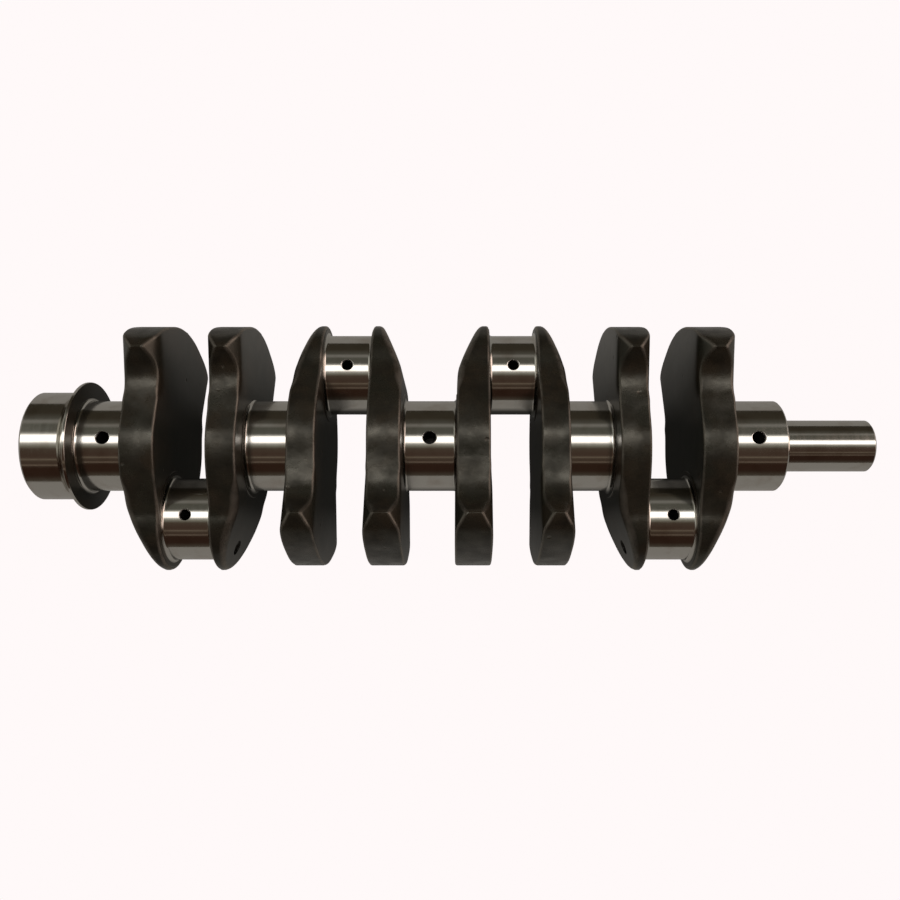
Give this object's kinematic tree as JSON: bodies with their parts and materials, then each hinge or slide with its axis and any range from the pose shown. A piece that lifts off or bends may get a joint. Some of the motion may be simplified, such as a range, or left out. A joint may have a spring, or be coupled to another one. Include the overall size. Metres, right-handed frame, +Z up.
{
  "type": "crankshaft",
  "caption": "Forged inline crankshaft in one plane, with counterweighted webs, a plain nose, a flywheel flange and a pilot bearing.",
  "frame": {"origin": "centre of the bounding box, on the crankshaft's main axis and halfway between the dowel's tip and the nose's end; the middle main journal's centre is at x = -12.05 mm", "axes": "+X along the main axis from the flywheel flange to the nose, +Y towards the two inner crankpins, +Z normal to the plane of the crankpins; the shaft rests on its counterweights with +Z up"},
  "size_m": [0.5088, 0.1504, 0.111],
  "materials": {
    "forged_steel": "satin",
    "ground_steel": "gloss",
    "plug_steel": "satin",
    "key_steel": "satin",
    "dowel_steel": "gloss",
    "bearing_steel": "gloss",
    "ball_steel": "gloss",
    "cage_brass": "satin",
    "seal_rubber": "matte"
  },
  "bodies": {
    "input_shaft_ring": {"pilot_inner_ring": "bearing_steel"},
    "crankshaft": {"crankshaft_forging": "forged_steel", "gallery_plug_1": "plug_steel", "gallery_plug_2": "plug_steel", "gallery_plug_3": "plug_steel", "gallery_plug_4": "plug_steel", "sprocket_key": "key_steel", "pulley_key": "key_steel", "flywheel_dowel": "dowel_steel", "pilot_outer_ring": "bearing_steel", "pilot_seal_inboard": "seal_rubber", "pilot_seal_outboard": "seal_rubber"},
    "ball_set": {"pilot_ball_cage": "cage_brass", "pilot_ball_1": "ball_steel", "pilot_ball_2": "ball_steel", "pilot_ball_3": "ball_steel", "pilot_ball_4": "ball_steel", "pilot_ball_5": "ball_steel", "pilot_ball_6": "ball_steel", "pilot_ball_7": "ball_steel"}
  },
  "joints": [
    {"name": "crank_spin", "type": "hinge", "parent": "input_shaft_ring", "child": "crankshaft", "pos_m": [0, 0, 0], "axis": [1, 0, 0], "continuous": true},
    {"name": "ball_set_spin", "type": "hinge", "parent": "input_shaft_ring", "child": "ball_set", "pos_m": [-0.2432, 0, 0], "axis": [1, 0, 0], "continuous": true}
  ],
  "couplings": [
    {"joint": "ball_set_spin", "follows": "crank_spin", "ratio": 0.6352}
  ]
}
